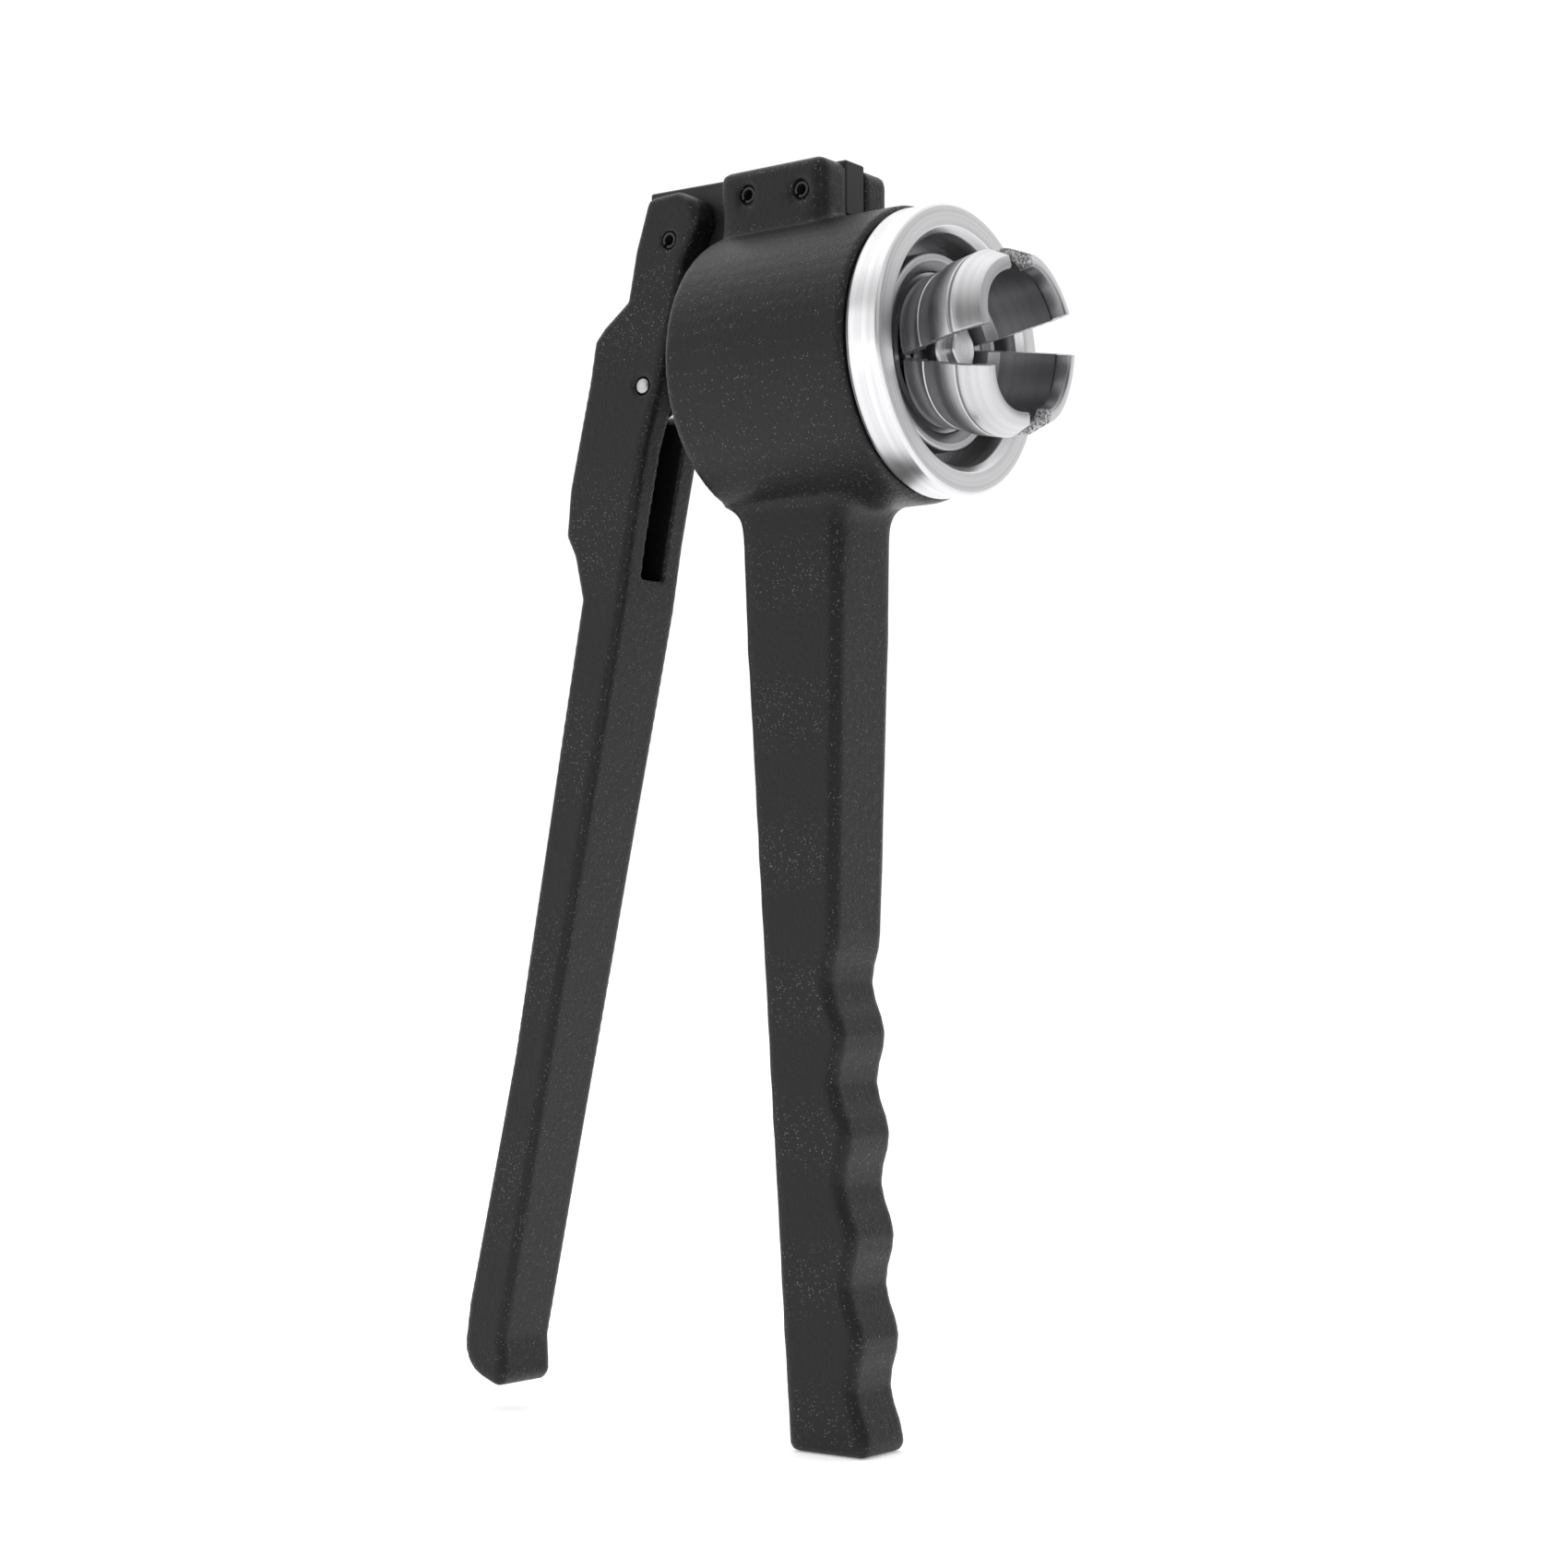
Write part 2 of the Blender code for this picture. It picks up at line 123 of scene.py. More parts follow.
class Graph:
    """A material with a Principled shader, and short ways to add nodes to it."""

    def __init__(self, name, colour, roughness, metallic, **sockets):
        self.made = bpy.data.materials.new(name)
        self.made.use_nodes = True
        self.tree = self.made.node_tree
        self.shader = self.tree.nodes["Principled BSDF"]
        self.shader.inputs["Base Color"].default_value = (*colour, 1.0)
        self.shader.inputs["Roughness"].default_value = roughness
        self.shader.inputs["Metallic"].default_value = metallic
        for label, value in sockets.items():
            self.shader.inputs[label.replace("_", " ")].default_value = value

    def add(self, kind, inputs=None, **settings):
        """A node with its settings, and inputs given as numbers or output sockets."""
        node = self.tree.nodes.new("ShaderNode" + kind)
        for label, value in settings.items():
            setattr(node, label, value)
        for label, value in (inputs or {}).items():
            self.put(node.inputs[label], value)
        return node

    def put(self, socket, value):
        """Link a socket, or set its own value."""
        if isinstance(value, bpy.types.NodeSocket):
            self.tree.links.new(value, socket)
        else:
            socket.default_value = value

    def math(self, operation, a, b=0.0):
        """One Math node's output."""
        return self.add("Math", {0: a, 1: b}, operation=operation).outputs[0]

    def place(self):
        """The piece's own coordinates."""
        return self.add("TexCoord").outputs["Object"]

    def noise(self, vector, scale, detail=2.0, roughness=0.5):
        """A noise texture's value."""
        sockets = {"Vector": vector, "Scale": scale, "Detail": detail, "Roughness": roughness}
        return self.add("TexNoise", sockets).outputs["Fac"]

    def ramp(self, value, low, high, out_low=0.0, out_high=1.0):
        """Map a range of a value to another, clamped."""
        sockets = {"Value": value, "From Min": low, "From Max": high, "To Min": out_low,
                   "To Max": out_high}
        return self.add("MapRange", sockets).outputs["Result"]

    def mix(self, factor, first, second):
        """Mix two colours."""
        node = self.add("Mix", data_type="RGBA")
        self.put(node.inputs[0], factor)
        self.put(node.inputs[6], first)
        self.put(node.inputs[7], second)
        return node.outputs[2]

    def bump(self, height, strength, distance, normal=None):
        """Chain a Bump node."""
        sockets = {"Height": height, "Strength": strength, "Distance": distance}
        if normal is not None:
            sockets["Normal"] = normal
        return self.add("Bump", sockets).outputs["Normal"]

    def finish(self, colour=None, roughness=None, normal=None):
        """Link what the shader takes from nodes."""
        for label, value in (("Base Color", colour), ("Roughness", roughness), ("Normal", normal)):
            if value is not None:
                self.put(self.shader.inputs[label], value)
        return self.made


def grey(value):
    """A grey as a colour with alpha."""
    return (value, value, value * 1.01, 1.0)


def coated_casting():
    """Black textured coating: fine grain and pale specks; on rounded edges the specks gather and
    the base lightens, a painted highlight.
    """
    g = Graph("black_coated_casting", (0.01, 0.01, 0.01), 0.38, 0.0, Specular_IOR_Level=0.24)
    place = g.place()
    grain = g.noise(place, 2300.0, 3.0, 0.7)
    cloud = g.noise(place, 70.0, 3.0)
    lumps = g.noise(place, 750.0, 2.0)
    # rounded edges: pale specks gather there and the base lightens, a painted highlight
    edge = g.ramp(g.add("NewGeometry").outputs["Pointiness"], 0.51, 0.58)
    cells = g.add("TexVoronoi", {"Vector": place, "Scale": 3200.0})
    chance = g.add("SeparateColor", {0: cells.outputs["Color"]}).outputs[0]
    cutoff = g.ramp(edge, 0.0, 1.0, 0.90, 0.55)
    lucky = g.math("GREATER_THAN", chance, cutoff)
    core = g.math("LESS_THAN", cells.outputs["Distance"], 0.32)
    vary = g.ramp(g.noise(place, 900.0, 1.0), 0.30, 0.60, 0.25, 1.0)
    speck = g.math("MULTIPLY", g.math("MULTIPLY", lucky, core), vary)
    base = g.mix(cloud, grey(0.0040), grey(0.0085))
    base = g.mix(g.math("MULTIPLY", grain, 0.30), base, grey(0.022))
    # base lightened on rounded edges: painted highlight
    base = g.mix(g.math("MULTIPLY", edge, 0.20), base, grey(0.05))
    colour = g.mix(g.math("MULTIPLY", speck, 0.7), base, grey(0.22))
    rough = g.ramp(grain, 0.3, 0.7, 0.27, 0.46)
    normal = g.bump(lumps, 0.35, 0.00025)
    normal = g.bump(grain, 0.8, 0.00014, normal)
    return g.finish(colour, rough, normal)


def turned_metal(name, colour, roughness, line_scale=5200.0, line_depth=0.00002, wear=0.14,
                 pits=0.3):
    """Lathe-turned metal: fine rings round the piece's own axis, faint smudges, few pits."""
    g = Graph(name, colour, roughness, 1.0)
    place = g.place()
    split = g.add("SeparateXYZ", {0: place})
    across_2 = g.math("MULTIPLY", split.outputs["X"], split.outputs["X"])
    up_2 = g.math("MULTIPLY", split.outputs["Y"], split.outputs["Y"])
    radius = g.math("SQRT", g.math("ADD", across_2, up_2))
    rings = g.add("CombineXYZ", {"X": radius, "Y": split.outputs["Z"], "Z": 0.0}).outputs[0]
    fine = g.noise(rings, line_scale, 2.0, 0.7)
    broad = g.noise(rings, line_scale * 0.12, 2.0, 0.6)
    smudge = g.noise(place, 160.0, 4.0, 0.6)
    spots = g.ramp(g.noise(place, 700.0, 2.0), 0.74, 0.78)
    pale = (*[min(1.0, c * 1.12) for c in colour], 1.0)
    dark = (*[c * (1.0 - wear) for c in colour], 1.0)
    tone = g.mix(g.ramp(broad, 0.35, 0.65), dark, pale)
    tone = g.mix(g.math("MULTIPLY", spots, pits), tone, grey(0.10))
    rough = g.ramp(smudge, 0.3, 0.7, roughness * 0.88, roughness * 1.15)
    normal = g.bump(fine, 0.2, line_depth)
    normal = g.bump(broad, 0.15, line_depth * 2.0, normal)
    return g.finish(tone, rough, normal)


def sawn_metal():
    """Faces that a slitting saw left: dark, coarse and speckled."""
    g = Graph("sawn_steel", (0.2, 0.2, 0.2), 0.5, 0.9)
    place = g.place()
    grit = g.noise(place, 2600.0, 4.0, 0.85)
    blotch = g.noise(place, 1100.0, 3.0, 0.7)
    tone = g.mix(g.ramp(grit, 0.43, 0.57), grey(0.10), grey(0.80))
    tone = g.mix(g.ramp(blotch, 0.54, 0.66), tone, grey(0.20))
    normal = g.bump(grit, 0.7, 0.00012)
    return g.finish(tone, g.ramp(grit, 0.3, 0.7, 0.35, 0.62), normal)


def drawn_metal(name, level, roughness, metallic=1.0):
    """Plain worked metal of one grey level, with faint scratches and clouds."""
    g = Graph(name, (level, level, level), roughness, metallic)
    place = g.place()
    stretch = g.add("Mapping", {"Vector": place, "Scale": (1.0, 1.0, 9.0)}).outputs[0]
    scratch = g.noise(stretch, 1500.0, 3.0, 0.7)
    cloud = g.noise(place, 220.0, 3.0)
    tone = g.mix(g.ramp(cloud, 0.3, 0.7), grey(level * 0.7), grey(min(1.0, level * 1.3)))
    normal = g.bump(scratch, 0.3, 0.00003)
    return g.finish(tone, g.ramp(scratch, 0.3, 0.7, roughness * 0.8, roughness * 1.3), normal)


def bronze():
    """Sintered bronze bush."""
    g = Graph("sintered_bronze", (0.45, 0.32, 0.17), 0.45, 1.0)
    grit = g.noise(g.place(), 2200.0, 3.0, 0.7)
    tone = g.mix(g.ramp(grit, 0.35, 0.65), (0.22, 0.15, 0.08, 1.0), (0.50, 0.37, 0.20, 1.0))
    return g.finish(tone, None, g.bump(grit, 0.4, 0.00005))


# ---------------------------------------------------------------- mesh helpers

def link(name, mesh, finish, matrix, body, nodes):
    """Put a piece in the scene, riding on a body and standing for its CAD nodes.

    A finish of None leaves the mesh the materials that it has.
    """
    piece = bpy.data.objects.new(name, mesh)
    bpy.context.scene.collection.objects.link(piece)
    piece.matrix_world = matrix
    if finish is not None:
        mesh.materials.clear()
        mesh.materials.append(finish)
    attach(piece, body)
    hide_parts(*nodes)
    return piece


def arc(centre, radius, start, end, steps=5):
    """Points on an arc of a (radius, back) profile, angles in degrees."""
    turn = [math.radians(start + (end - start) * k / steps) for k in range(steps + 1)]
    return [(centre[0] + radius * math.cos(a), centre[1] + radius * math.sin(a)) for a in turn]


def rounded(profile, radius, steps=3):
    """Round a closed (radius, back) profile's corners; corners on the axis stay."""
    out = []
    count = len(profile)
    for k, corner in enumerate(profile):
        here = Vector(corner)
        before = Vector(profile[k - 1]) - here
        after = Vector(profile[(k + 1) % count]) - here
        if here.x < 1e-6:
            out.append(tuple(here))
            continue
        reach = min(radius, before.length * 0.45, after.length * 0.45)
        first = here + before.normalized() * reach
        last = here + after.normalized() * reach
        for step in range(steps + 1):
            t = step / steps
            out.append(tuple(first * (1 - t) ** 2 + here * 2 * t * (1 - t) + last * t * t))
    return out


def lathe(name, profile, steps=160, start=0.0, sweep=360.0):
    """Turn a (radius, back) profile in mm round local Z; a part turn gets end caps."""
    shape = bmesh.new()
    whole = abs(sweep - 360.0) < 1e-6
    count = steps if whole else steps + 1
    rows = []
    for k in range(count):
        turn = math.radians(start + sweep * k / steps)
        row = []
        for radius, back in profile:
            row.append(shape.verts.new((radius * math.cos(turn) * MM, radius * math.sin(turn) * MM,
                                        -back * MM)))
        rows.append(row)
    ring = rows + [rows[0]] if whole else rows
    for near, far in zip(ring, ring[1:]):
        for k in range(len(profile)):
            n = (k + 1) % len(profile)
            shape.faces.new((near[k], near[n], far[n], far[k]))
    if not whole:
        shape.faces.new(rows[0])
        shape.faces.new(list(reversed(rows[-1])))
    bmesh.ops.remove_doubles(shape, verts=shape.verts, dist=1e-7)
    bmesh.ops.recalc_face_normals(shape, faces=shape.faces)
    mesh = bpy.data.meshes.new(name)
    shape.to_mesh(mesh)
    shape.free()
    shade(mesh, 40.0)
    return mesh


def shade(mesh, degrees):
    """Smooth shading with sharp edges kept."""
    mesh.shade_smooth()
    mesh.set_sharp_from_angle(angle=math.radians(degrees))


def mark_shaded_bore(mesh, limit, index):
    """Give the faces that look in at the axis, nearer it than limit in mm, a material slot, which
    carries a darker steel as painted shade in the bore.
    """
    for face in mesh.polygons:
        out = Vector((face.center.x, face.center.y, 0.0))
        if out.length < limit * MM and out.normalized().dot(face.normal) < -0.3:
            face.material_index = index


def evaluated(piece):
    """The mesh a temporary object's modifiers make; the object is removed."""
    graph = bpy.context.evaluated_depsgraph_get()
    mesh = bpy.data.meshes.new_from_object(piece.evaluated_get(graph))
    bpy.data.objects.remove(piece)
    return mesh


def temporary(data):
    """A short-lived object that a mesh or curve is evaluated on."""
    piece = bpy.data.objects.new("temporary", data)
    bpy.context.scene.collection.objects.link(piece)
    return piece


def cast_mesh(node, voxel, soften):
    """A fine skin over a cast CAD node, inside the node's box.

    soften gives each point's share of smoothing, and the rounds. A share up to 1 smooths and
    swells back in turn, which keeps the size. From 1 to MELT it fades to plain smoothing.
    """
    smooth, swell, melt = 0.5, -0.49, 0.45
    piece = temporary(frame["nodes"][node].data.copy())
    remesh = piece.modifiers.new("skin", "REMESH")
    remesh.mode = "VOXEL"
    remesh.voxel_size = voxel
    mesh = evaluated(piece)
    count = len(mesh.vertices)
    points = np.zeros(count * 3)
    mesh.vertices.foreach_get("co", points)
    points = points.reshape(-1, 3)
    edges = np.zeros(len(mesh.edges) * 2, int)
    mesh.edges.foreach_get("vertices", edges)
    edges = edges.reshape(-1, 2)
    valence = np.bincount(edges.ravel(), minlength=count)[:, None]
    share, rounds = soften(points)
    strong = np.clip((share - 1.0) / (MELT - 1.0), 0.0, 1.0)
    for k in range(rounds):
        total = np.zeros_like(points)
        np.add.at(total, edges[:, 0], points[edges[:, 1]])
        np.add.at(total, edges[:, 1], points[edges[:, 0]])
        step = smooth if k % 2 == 0 else swell
        step = step * (1.0 - strong) * np.minimum(share, 1.0) + melt * strong
        points += (total / valence - points) * step[:, None]
    low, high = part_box(node)
    points = np.clip(points, np.array(low), np.array(high))
    mesh.vertices.foreach_set("co", points.ravel())
    mesh.update()
    mesh.materials.clear()
    mesh.shade_smooth()
    return mesh


def barrel_place(points):
    """Points in mm across, back from the collar's face, and up from the barrel's axis."""
    return (points - np.array([0.0, FRONT_Y, AXIS_Z])) / MM


# ---------------------------------------------------------------- the pieces

def cast_body():
    """Body casting with soft cast fillets under the barrel and round the lug."""
    plain, crisp, rounds = 0.6, 0.25, 26
    skin_r, lug_r, bores_r = 24.2, 24.9, 23.9    # within 0.8 mm of the barrel's own radius
    fade_end, fade_length = -46.0, 16.0          # where the handle's fillet stops melting
    rear_face = 42.6

    def soften(points):
        x, back, up = barrel_place(points).T
        radius = np.hypot(x, up)
        share = np.full(len(points), plain)
        root = (up < -18.0) & (up > fade_end) & (np.abs(x) < 16.0) & (radius > skin_r)
        fade = np.clip((up[root] - fade_end) / fade_length, 0.0, 1.0)
        share[root] = 1.0 + (MELT - 1.0) * fade
        lug_foot = (up > 18.0) & (up < 28.5) & (np.abs(x) > 7.0) & (radius > lug_r)
        share[lug_foot] = MELT
        bores = (radius < bores_r) & (up > -23.5) & (back < rear_face)
        share[bores] = crisp
        return share, rounds
    voxel = 0.0005
    mesh = cast_mesh("body_casting", voxel, soften)
    link("body_skin", mesh, CAST, Matrix.Identity(4), "body", ["body_casting"])


def lever():
    """Lever casting, smoothed the same all over."""
    share, rounds = 0.8, 16

    def soften(points):
        return np.full(len(points), share), rounds
    voxel = 0.00045
    mesh = cast_mesh("lever_handle", voxel, soften)
    link("lever_skin", mesh, CAST, Matrix.Identity(4), "lever", ["lever_handle"])


def collar():
    """Turned collar with a broken outer edge and a fine groove before the casting."""
    edge, rim_back = 0.5, 6.7
    profile = [(COLLAR_R - edge, 0.0), (COLLAR_R, edge), (COLLAR_R, 5.95),
               (COLLAR_R - edge, 6.2), (COLLAR_R - edge, rim_back), (SPIGOT_R, rim_back),
               (SPIGOT_R, SPIGOT_BACK), (COLLAR_BORE_R, SPIGOT_BACK), (COLLAR_BORE_R, 1.3),
               (20.2, 0.0)]
    mesh = lathe("collar", rounded(profile, 0.22), 220)
    link("collar_ring", mesh, STEEL, BARREL, "body", ["front_collar"])


def retainer():
    """Ring in the collar that the jaws rock on, with its bright rolled front edge, and painted
    shade on its inner faces.
    """
    front, wall_r, shoulder = 3.54, 16.4, 14.3
    ridge_front, ridge_back = 4.65, 5.85
    profile = [(RETAINER_EDGE_R, front), (16.1, front), (wall_r, 3.9), (wall_r, shoulder),
               (RETAINER_R, shoulder), (RETAINER_R, RETAINER_BACK),
               (RETAINER_BORE_R, RETAINER_BACK), (RETAINER_BORE_R, ridge_back),
               (RIDGE_R, ridge_back), (RIDGE_R, ridge_front), (RETAINER_BORE_R, ridge_front),
               (RETAINER_BORE_R, 4.3)]
    mesh = lathe("retainer", rounded(profile, 0.25), 180)
    mesh.materials.append(JAW_STEEL)
    mesh.materials.append(BORE_SHADE)
    # the faces in the bore get a darker steel: painted shade
    mark_shaded_bore(mesh, RETAINER_EDGE_R + 0.3, 1)
    link("retainer_ring", mesh, None, BARREL, "body", ["jaw_retainer"])


def fine_groove(back, before, floor, after):
    """Profile points of a shallow turned groove, with the radii before, in and after it."""
    half, half_floor = 0.22, 0.1
    return [(before, back - half), (floor, back - half_floor), (floor, back + half_floor),
            (after, back + half)]


def jaw_profile():
    """Closed jaw's section: undercut lip, cavity, turned bands and the rocking groove."""
    neck, spring_groove, tail_bore_r = (3.95, 7.15), (9.0, 12.4), 8.7
    spring_groove_r = 10.6
    outer = [(JAW_CAVITY_R, JAW_FRONT), (12.5, -9.3), (JAW_R, -8.5)]
    outer += fine_groove(-7.6, JAW_R, 12.62, JAW_R)
    outer += fine_groove(-3.0, JAW_R, 12.62, JAW_ROOT_R)
    outer += fine_groove(-0.4, JAW_ROOT_R, 12.1, JAW_ROOT_R)
    root = [(JAW_ROOT_R, neck[0]), (JAW_NECK_R, neck[0]), (JAW_NECK_R, neck[1]),
            (JAW_TAIL_R, neck[1]), (JAW_TAIL_R, spring_groove[0]),
            (spring_groove_r, spring_groove[0]), (spring_groove_r, spring_groove[1]),
            (JAW_TAIL_R, spring_groove[1]), (JAW_TAIL_R, JAW_TAIL_BACK),
            (tail_bore_r, JAW_TAIL_BACK), (tail_bore_r, 2.0)]
    inner = [(JAW_CAVITY_R, 0.6), (JAW_CAVITY_R, -9.3), (9.4, -9.9), (JAW_LIP_R, -10.2),
             (JAW_LIP_R, -12.3), (8.8, JAW_FRONT)]
    return outer + root + inner


def sector():
    """Wedge that a jaw is sawn to: straight sides, then relieved past the rocking axis."""
    reach = 20.0
    shape = bmesh.new()
    rows = []
    for back, apex in ((-15.0, SAW_APEX), (JAW_PIVOT_BACK, SAW_APEX),
                       (JAW_TAIL_BACK + 1.0, SAW_TAIL_APEX)):
        corners = ((apex, 0.0), (apex + reach, reach), (apex + reach, -reach))
        rows.append([shape.verts.new((x * MM, y * MM, -back * MM)) for x, y in corners])
    shape.faces.new(rows[0])
    shape.faces.new(list(reversed(rows[-1])))
    for near, far in zip(rows, rows[1:]):
        for k in range(3):
            shape.faces.new((near[k], far[k], far[k - 2], near[k - 2]))
    bmesh.ops.recalc_face_normals(shape, faces=shape.faces)
    mesh = bpy.data.meshes.new("sector")
    shape.to_mesh(mesh)
    shape.free()
    return mesh


def jaw_mesh():
    """One fine jaw, cut from a turned ring, with broken edges, its sawn faces marked, and painted
    shade on the faces in its cavity.
    """
    blank = temporary(lathe("jaw", rounded(jaw_profile(), 0.12, 2), 192))
    wedge = temporary(sector())
    cut = blank.modifiers.new("saw", "BOOLEAN")
    cut.operation = "INTERSECT"
    cut.object = wedge
    edges = blank.modifiers.new("edges", "BEVEL")
    edges.width = 0.00013
    edges.segments = 2
    edges.limit_method = "ANGLE"
    edges.angle_limit = math.radians(55.0)
    mesh = evaluated(blank)
    bpy.data.objects.remove(wedge)
    mesh.materials.clear()
    mesh.materials.append(JAW_STEEL)
    mesh.materials.append(SAWN)
    mesh.materials.append(BORE_SHADE)
    for face in mesh.polygons:
        out = Vector((face.center.x, face.center.y, 0.0))
        flat = abs(face.normal.z) < 0.35 and out.length > 0.0
        sideways = abs(out.normalized().cross(face.normal).z) > 0.9
        face.material_index = int(flat and sideways)
    # the cavity's faces get a darker steel: painted shade
    mark_shaded_bore(mesh, JAW_CAVITY_R + 0.4, 2)
    shade(mesh, 35.0)
    return mesh


def jaws():
    """The four jaws, rocked open as the CAD jaws stand."""
    mesh = jaw_mesh()
    for k in range(4):
        joint = JOINTS[f"jaw_{k + 1}_rock"]
        pivot = Matrix.Translation(joint["pos_m"])
        axis = Vector(joint["axis"])
        turn = math.atan2(axis.x, -axis.z)
        rocked = pivot @ Matrix.Rotation(-JAW_OPEN, 4, axis) @ pivot.inverted()
        place = rocked @ BARREL @ Matrix.Rotation(turn, 4, "Z")
        link(f"jaw_segment_{k + 1}", mesh, None, place, joint["child"], [f"jaw_{k + 1}"])


def threads(front, back):
    """Profile points of a threaded stretch, drawn as plain rings."""
    root_r = THREAD_R - THREAD_DEPTH
    points = []
    count = int((back - front) / THREAD_PITCH)
    for k in range(count):
        start = front + k * THREAD_PITCH
        points += [(root_r, start), (THREAD_R, start + THREAD_PITCH * 0.4),
                   (THREAD_R, start + THREAD_PITCH * 0.6)]
    points.append((root_r, front + count * THREAD_PITCH))
    return points


def pusher():
    """Threaded stem, nut, washer and stepped head."""
    stem_back = 21.7
    stem = [(0.0, 0.5), (STEM_R - 0.2, 0.5), (STEM_R, 0.7), (STEM_R, 3.2)]
    stem += threads(3.3, 5.5)
    stem += [(STEM_R, 5.7), (STEM_R, stem_back), (0.0, stem_back)]
    link("stem", lathe("stem", stem, 64), STEEL, BARREL, "piston", ["pusher_stem"])
    front, flange_front, flange_back = -0.6, 1.1, 2.8
    boss_r, flange_r, edge = 3.2, 5.6, 0.3
    head = rounded([(0.0, front), (boss_r - edge, front), (boss_r, front + edge),
                    (boss_r, flange_front), (flange_r - edge, flange_front),
                    (flange_r, flange_front + edge), (flange_r, flange_back),
                    (PUSHER_HOLE_R, flange_back), (PUSHER_HOLE_R, 0.2), (0.0, 0.2)], 0.12)
    link("head", lathe("head", head, 96), STEEL, BARREL, "piston", ["pusher_head"])
    washer = rounded([(5.0, 11.1), (5.0, 11.7), (PUSHER_HOLE_R, 11.7), (PUSHER_HOLE_R, 11.1)],
                     0.12)
    link("washer", lathe("washer", washer, 96), STEEL, BARREL, "piston", ["pusher_washer"])
    nut = temporary(frame["nodes"]["pusher_locknut"].data.copy())
    edges = nut.modifiers.new("edges", "BEVEL")
    edges.width = 0.00025
    edges.segments = 2
    mesh = evaluated(nut)
    mesh.transform(BARREL.inverted())
    shade(mesh, 40.0)
    link("nut", mesh, STEEL, BARREL, "piston", ["pusher_locknut"])


def roll_pin(name, node, body):
    """Slotted spring pin, rolled from sheet."""
    wall, taper, lead, slit_end, sweep = 0.55, 0.15, 0.3, 60.0, 325.0
    low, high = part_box(node)
    half = (high.x - low.x) / 2.0 / MM
    radius = (high.z - low.z) / 2.0 / MM
    profile = [(radius, -half + lead), (radius, half - lead), (radius - taper, half),
               (radius - wall, half), (radius - wall, -half), (radius - taper, -half)]
    mesh = lathe(name, profile, 48, slit_end, sweep)
    link(name, mesh, BLACK, across(node), body, [node])


def pins():
    """The lug's and lever's pins; the roller pin's ends are riveted over."""
    roll_pin("roll_pin_front", "link_pin_front", "body")
    roll_pin("roll_pin_rear", "link_pin_rear", "body")
    roll_pin("roll_pin_lever", "lever_pivot_pin", "lever")
    low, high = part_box("roller_pin")
    half = (high.x - low.x) / 2.0 / MM
    profile = [(0.0, -half)] + arc((0.9, -half + 0.5), 0.5, -90.0, -20.0)
    profile += [(1.5, -half + 0.7), (1.5, half - 0.7)]
    profile += [(r, -b) for r, b in reversed(profile[1:-2])] + [(0.0, half)]
    link("rivet", lathe("rivet", profile, 48), RIVET, across("roller_pin"), "lever",
         ["roller_pin"])
    roller = rounded([(5.5, -2.6), (5.5, 2.6), (1.65, 2.6), (1.65, -2.6)], 0.3)
    link("roller_ring", lathe("roller", roller, 96), STEEL, across("push_roller"), "roller",
         ["push_roller"])


def push_rod():
    """Piston and rod in one turned piece."""
    front, hole_back, rod_back, edge = 12.0, 22.0, 55.5, 0.8
    cone, flange_back = ((6.5, front), (8.4, 20.0)), 37.0
    rod = rounded([(0.0, hole_back), (PUSHER_HOLE_R, hole_back), (PUSHER_HOLE_R, front), *cone,
                   (cone[1][0], FLANGE_FRONT), (FLANGE_R, FLANGE_FRONT),
                   (FLANGE_R, flange_back), (ROD_R, flange_back), (ROD_R, rod_back - edge),
                   (ROD_R - edge, rod_back), (0.0, rod_back)], 0.2)
    link("push_rod", lathe("push_rod", rod, 96), STEEL, BARREL, "piston", ["piston"])
    bush_r, bush_front, rim_r, rim_front, rim_back = 8.0, 38.1, 9.8, 43.4, 44.6
    bore_r = ROD_R + 0.2
    bush = rounded([(bush_r, bush_front), (bush_r, rim_front), (rim_r, rim_front),
                    (rim_r, rim_back), (bore_r, rim_back), (bore_r, bush_front)], 0.2)
    link("bush", lathe("bush", bush, 96), BRONZE, BARREL, "body", ["rod_guide_bush"])


def coil(name, points, radius, node, body="body"):
    """A round spring wire along points in mm, in barrel coordinates."""
    curve = bpy.data.curves.new(name, "CURVE")
    curve.dimensions = "3D"
    curve.bevel_depth = radius * MM
    curve.bevel_resolution = 4
    curve.use_fill_caps = True
    spline = curve.splines.new("POLY")
    spline.points.add(len(points) - 1)
    for point, place in zip(spline.points, points):
        point.co = (*[value * MM for value in place], 1.0)
    mesh = evaluated(temporary(curve))
    mesh.shade_smooth()
    return link(name, mesh, SPRING, BARREL, body, [node])


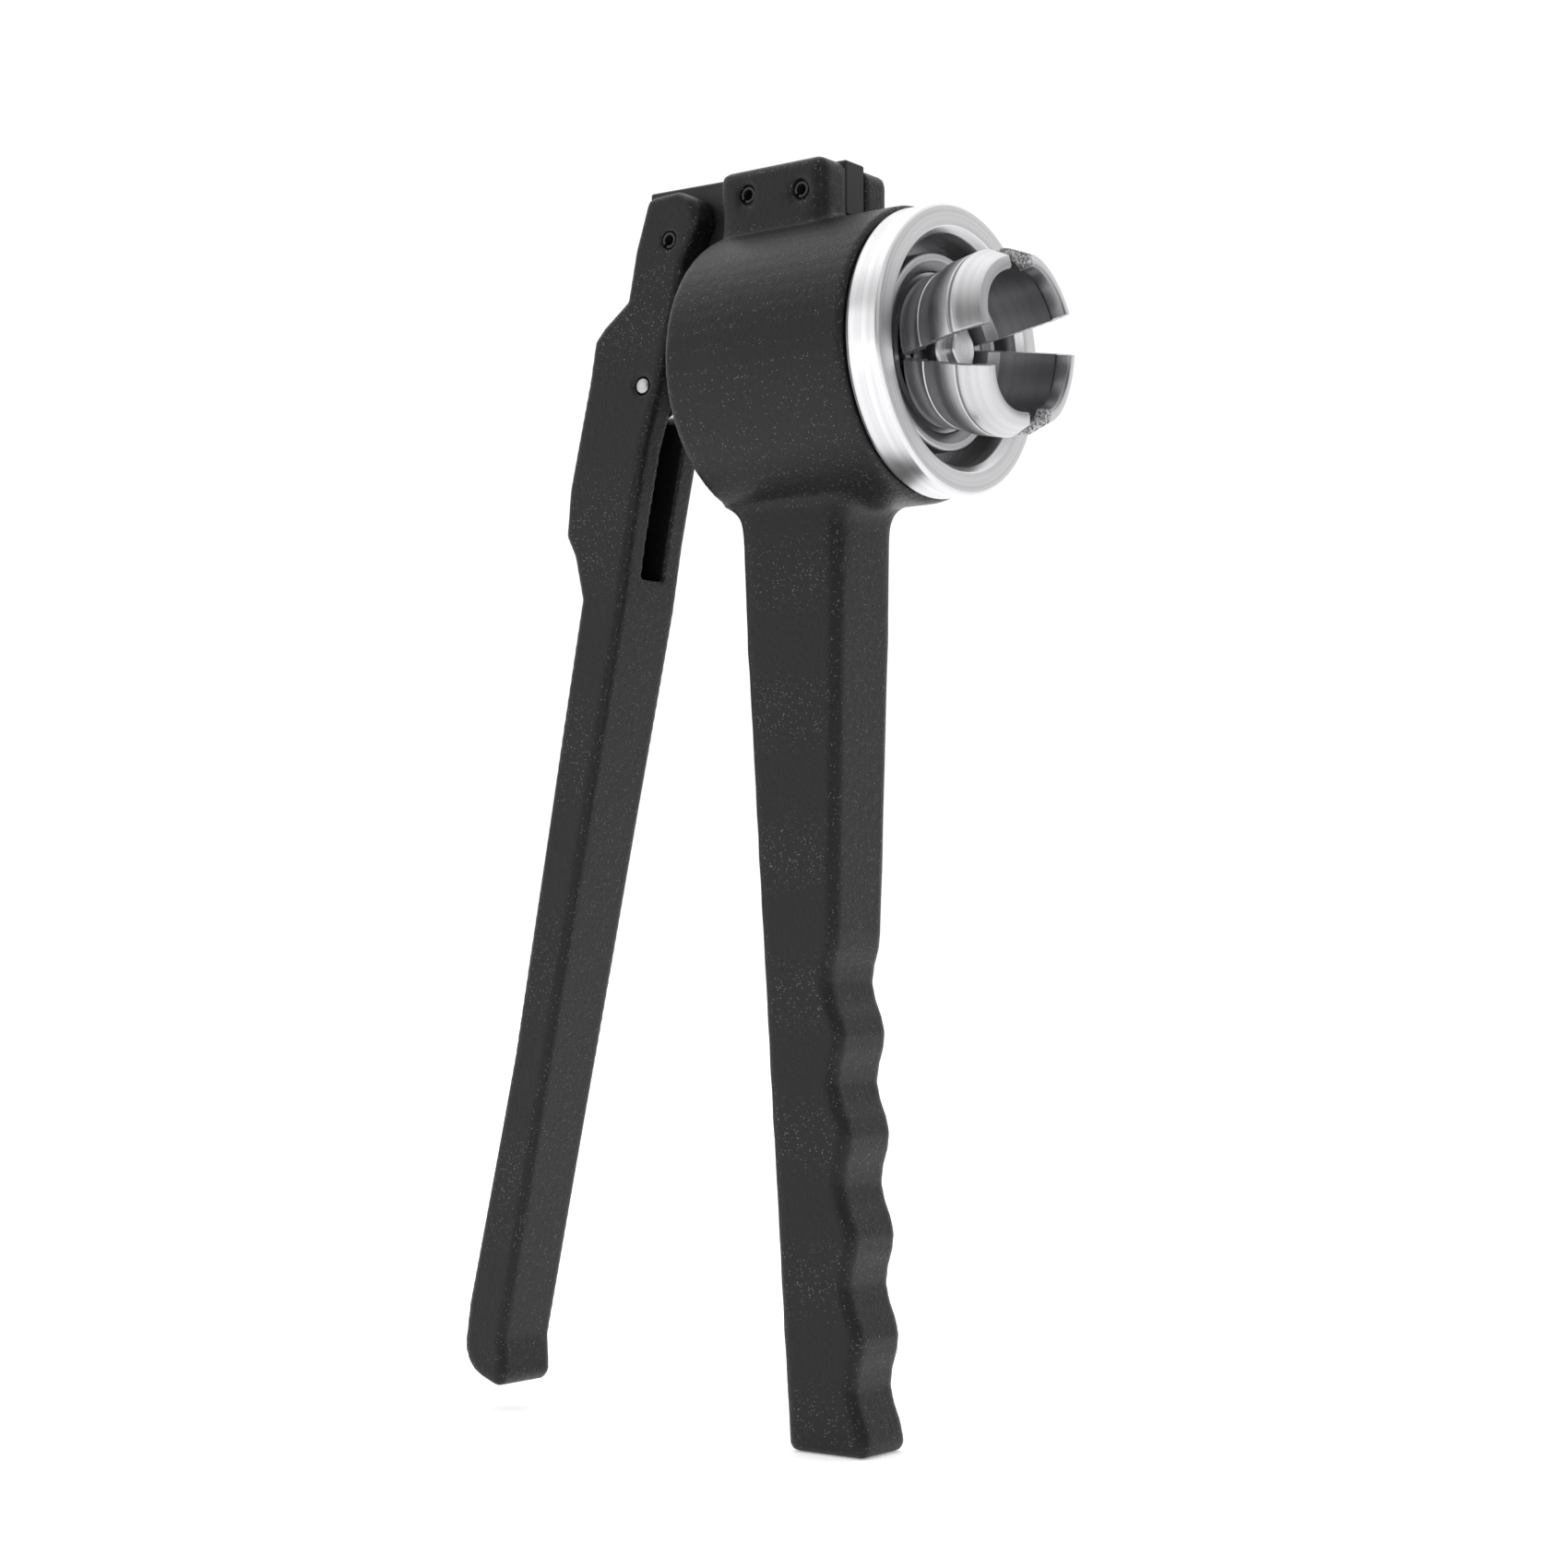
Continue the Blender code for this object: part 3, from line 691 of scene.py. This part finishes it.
def springs():
    """Return spring, drawn at one length though it flattens as the piston goes forward, and the
    jaws' ring spring.

    The ring spring is drawn as four arcs, each on its own jaw, because it stretches with them.
    """
    gap, per_turn = 0.3, 72
    start = RETAINER_BACK + gap + SPRING_WIRE_R
    end = FLANGE_FRONT - gap - SPRING_WIRE_R
    count = int(SPRING_TURNS * per_turn)
    points = []
    for k in range(count + 1):
        a = 2.0 * math.pi * k / per_turn
        back = start + (end - start) * k / count
        points.append((SPRING_R * math.cos(a), SPRING_R * math.sin(a), -back))
    spring = coil("return_coil", points, SPRING_WIRE_R, "return_spring")
    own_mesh(spring)
    beads = 155
    for k in range(4):
        joint = JOINTS[f"jaw_{k + 1}_rock"]
        middle = math.atan2(joint["axis"][0], -joint["axis"][2])
        ring = []
        for bead in range(beads + 1):
            a = middle + math.radians(GARTER_ARC) * (bead / beads - 0.5)
            radius = GARTER_R + GARTER_COIL_R * math.cos(a * GARTER_COILS)
            ring.append((radius * math.cos(a), radius * math.sin(a),
                         -GARTER_BACK + GARTER_COIL_R * math.sin(a * GARTER_COILS)))
        coil(f"garter_coil_{k + 1}", ring, GARTER_WIRE_R, "garter_spring", body=joint["child"])


def link_piece():
    """Link plate, in the CAD's own shape."""
    mesh = frame["nodes"]["link_plate"].data.copy()
    shade(mesh, 35.0)
    link("link_bar", mesh, BLACK_PLATE, Matrix.Identity(4), "body", ["link_plate"])


# ---------------------------------------------------------------- camera and light

def aim(thing, place, target):
    """Put a camera or light somewhere, looking at a point."""
    thing.location = place
    thing.rotation_euler = (Vector(target) - Vector(place)).to_track_quat("-Z", "Y").to_euler()


def camera():
    """The camera, slightly below the jaws and well to the left of them."""
    data = bpy.data.cameras.new("camera")
    data.lens = 65.33
    data.sensor_width = 36.0
    data.clip_start = 0.01
    made = bpy.data.objects.new("camera", data)
    bpy.context.scene.collection.objects.link(made)
    right = Vector((0.5966, -0.8025, 0.0)).normalized()
    back = Vector((-0.8012, -0.5956, -0.0567)).normalized()
    up = back.cross(right).normalized()
    turn = Matrix((right, up, back)).transposed().to_4x4()
    place = Vector((-0.3880, FRONT_Y - 0.2522, AXIS_Z - 0.0976))
    made.matrix_world = Matrix.Translation(place) @ turn
    bpy.context.scene.camera = made


def softbox(name, place, size, power):
    """A large soft area light on the middle of the object."""
    data = bpy.data.lights.new(name, "AREA")
    data.shape = "RECTANGLE"
    data.size, data.size_y = size
    data.energy = power
    made = bpy.data.objects.new(name, data)
    bpy.context.scene.collection.objects.link(made)
    aim(made, place, (0.0, 0.0, 0.13))


def paper_floor():
    """White floor, slightly self-lit, so that it stays white in the distance."""
    bpy.ops.mesh.primitive_plane_add(size=12.0, location=(0.0, 0.0, 0.0))
    floor = bpy.context.object
    floor.name = "floor"
    g = Graph("floor_paper", (0.95, 0.95, 0.95), 0.9, 0.0, Specular_IOR_Level=0.1,
              Emission_Color=(1.0, 1.0, 1.0, 1.0), Emission_Strength=0.35)
    tone = g.mix(g.noise(g.place(), 3.0), grey(0.94), grey(0.97))
    floor.data.materials.append(g.finish(tone))


def surroundings():
    """Pale surroundings, darker behind the camera, but white where a view looks past the tool."""
    world = bpy.data.worlds.new("studio")
    bpy.context.scene.world = world
    world.use_nodes = True
    tree = world.node_tree
    coords = tree.nodes.new("ShaderNodeTexCoord")
    toward = tree.nodes.new("ShaderNodeVectorMath")
    toward.operation = "DOT_PRODUCT"
    toward.inputs[1].default_value = (0.72, 0.55, 0.42)      # the bright side
    ramp = tree.nodes.new("ShaderNodeMapRange")
    limits = {"From Min": -0.25, "From Max": 0.60, "To Min": 0.22, "To Max": 1.0}
    for label, value in limits.items():
        ramp.inputs[label].default_value = value
    background = tree.nodes["Background"]
    tree.links.new(coords.outputs["Generated"], toward.inputs[0])
    tree.links.new(toward.outputs["Value"], ramp.inputs["Value"])
    direct = tree.nodes.new("ShaderNodeLightPath")
    brighter = tree.nodes.new("ShaderNodeMath")
    brighter.operation = "MAXIMUM"
    tree.links.new(ramp.outputs["Result"], brighter.inputs[0])
    tree.links.new(direct.outputs["Is Camera Ray"], brighter.inputs[1])
    tree.links.new(brighter.outputs["Value"], background.inputs["Color"])
    background.inputs["Strength"].default_value = 1.05
    bpy.context.scene.view_settings.view_transform = "Standard"


def lights():
    """Three softboxes, and a broad overhead light that evens out the floor."""
    softbox("key", (-0.55, -0.9, 0.75), (0.9, 0.9), 1.1)
    softbox("left", (-1.0, 0.75, 0.30), (0.7, 0.9), 2.4)
    softbox("top", (-0.2, 0.1, 1.1), (1.1, 1.1), 1.2)
    sky = bpy.data.lights.new("overhead", "SUN")
    sky.energy = 0.9
    sky.angle = math.radians(120.0)
    overhead = bpy.data.objects.new("overhead", sky)
    bpy.context.scene.collection.objects.link(overhead)


CAST = coated_casting()
STEEL = turned_metal("turned_steel", (0.66, 0.66, 0.67), 0.30)
JAW_STEEL = turned_metal("jaw_steel", (0.52, 0.52, 0.53), 0.34, 4200.0, 0.000012, 0.08, 0.0)
# darker steel put on faces inside bores and cavities: painted shade
BORE_SHADE = turned_metal("bore_painted_shade_steel", (0.27, 0.27, 0.28), 0.36, 4200.0, 0.000012, 0.05, 0.0)
RIVET = turned_metal("rivet_steel", (0.45, 0.45, 0.46), 0.35)
SAWN = sawn_metal()
SPRING = drawn_metal("spring_steel", 0.35, 0.35)
BLACK = drawn_metal("blackened_steel", 0.035, 0.42, 0.6)
BLACK_PLATE = drawn_metal("blackened_plate", 0.012, 0.5, 0.2)
BRONZE = bronze()

camera()
paper_floor()
surroundings()
lights()
cast_body()
lever()
collar()
retainer()
jaws()
pusher()
pins()
push_rod()
springs()
link_piece()
